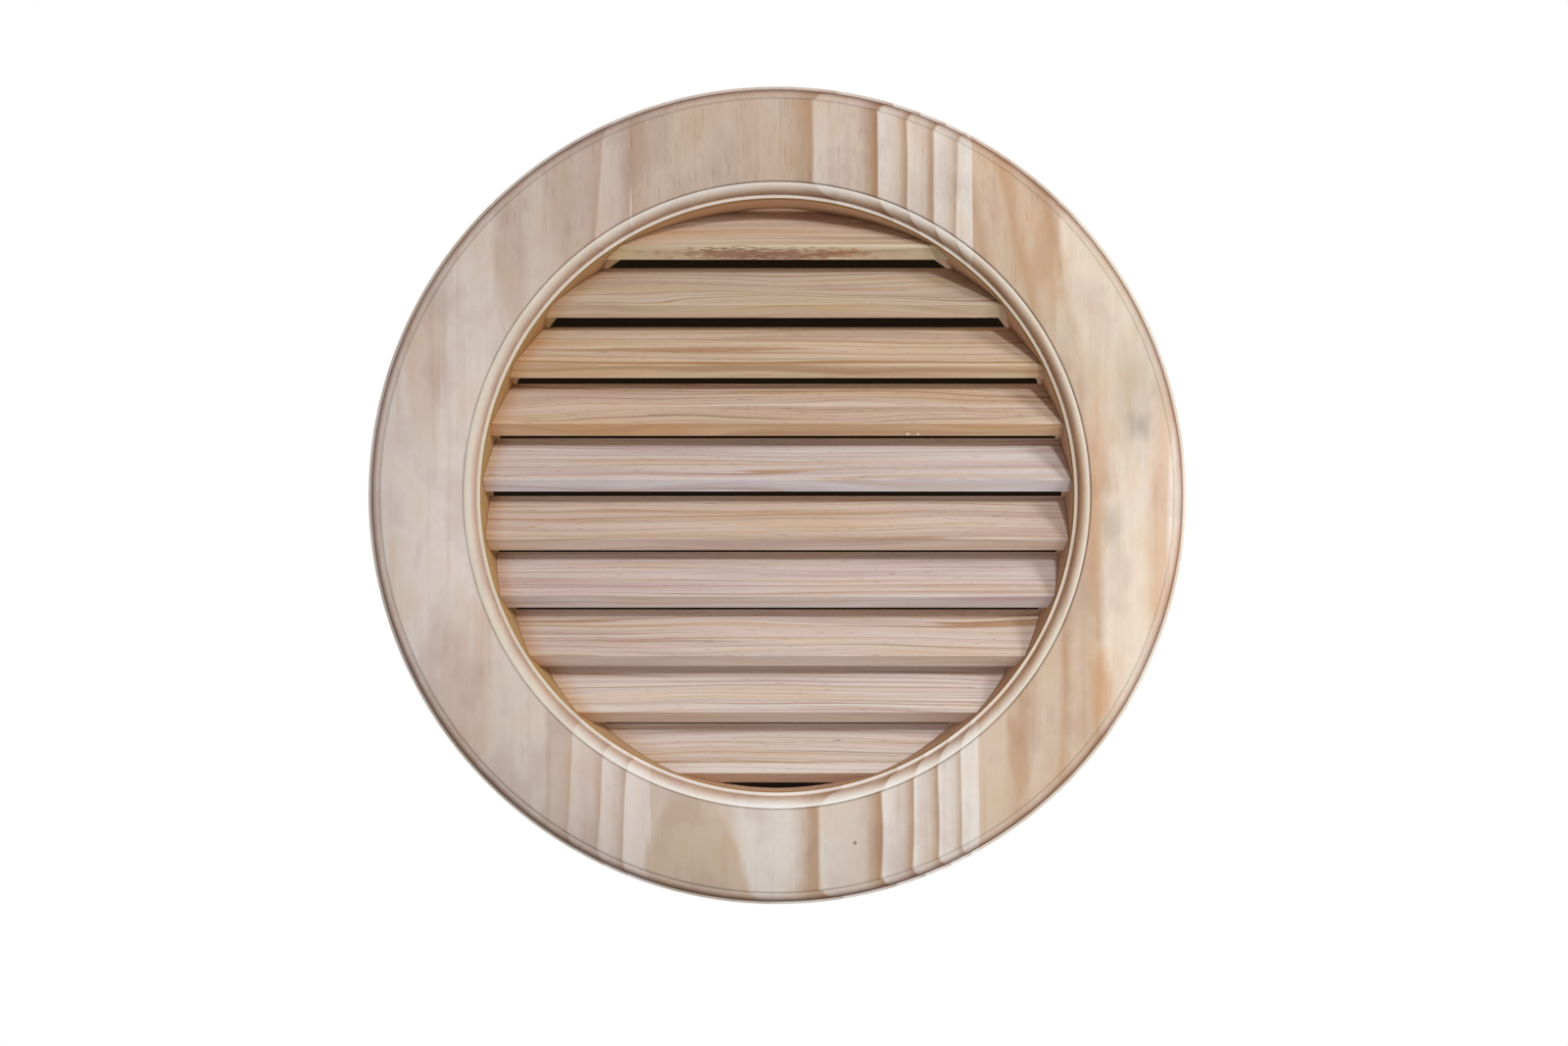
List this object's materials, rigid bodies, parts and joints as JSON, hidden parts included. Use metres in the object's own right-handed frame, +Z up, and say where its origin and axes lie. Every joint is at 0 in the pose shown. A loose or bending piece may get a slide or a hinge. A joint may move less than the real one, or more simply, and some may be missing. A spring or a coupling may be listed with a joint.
{
  "type": "round timber gable vent",
  "caption": "Round timber gable vent: a flat face ring with beaded edges, a round liner behind it and fixed sloping louvre slats that let air through and shed rain.",
  "frame": {"origin": "on the vent's axis, in the plane where the face ring lies against the wall", "axes": "+Y into the wall along the barrel, the face looks along -Y; +Z up; +X to the right seen from in front"},
  "size_m": [0.5499, 0.059, 0.55],
  "materials": {
    "ring_pine": "matte",
    "slat_pine": "matte",
    "liner_ply": "matte",
    "brad_steel": "satin"
  },
  "bodies": {
    "root": {"face_ring": "ring_pine", "barrel": "liner_ply", "slat_01": "slat_pine", "slat_02": "slat_pine", "slat_03": "slat_pine", "slat_04": "slat_pine", "slat_05": "slat_pine", "slat_06": "slat_pine", "slat_07": "slat_pine", "slat_08": "slat_pine", "slat_09": "slat_pine", "slat_10": "slat_pine", "slat_brads": "brad_steel"}
  },
  "joints": []
}
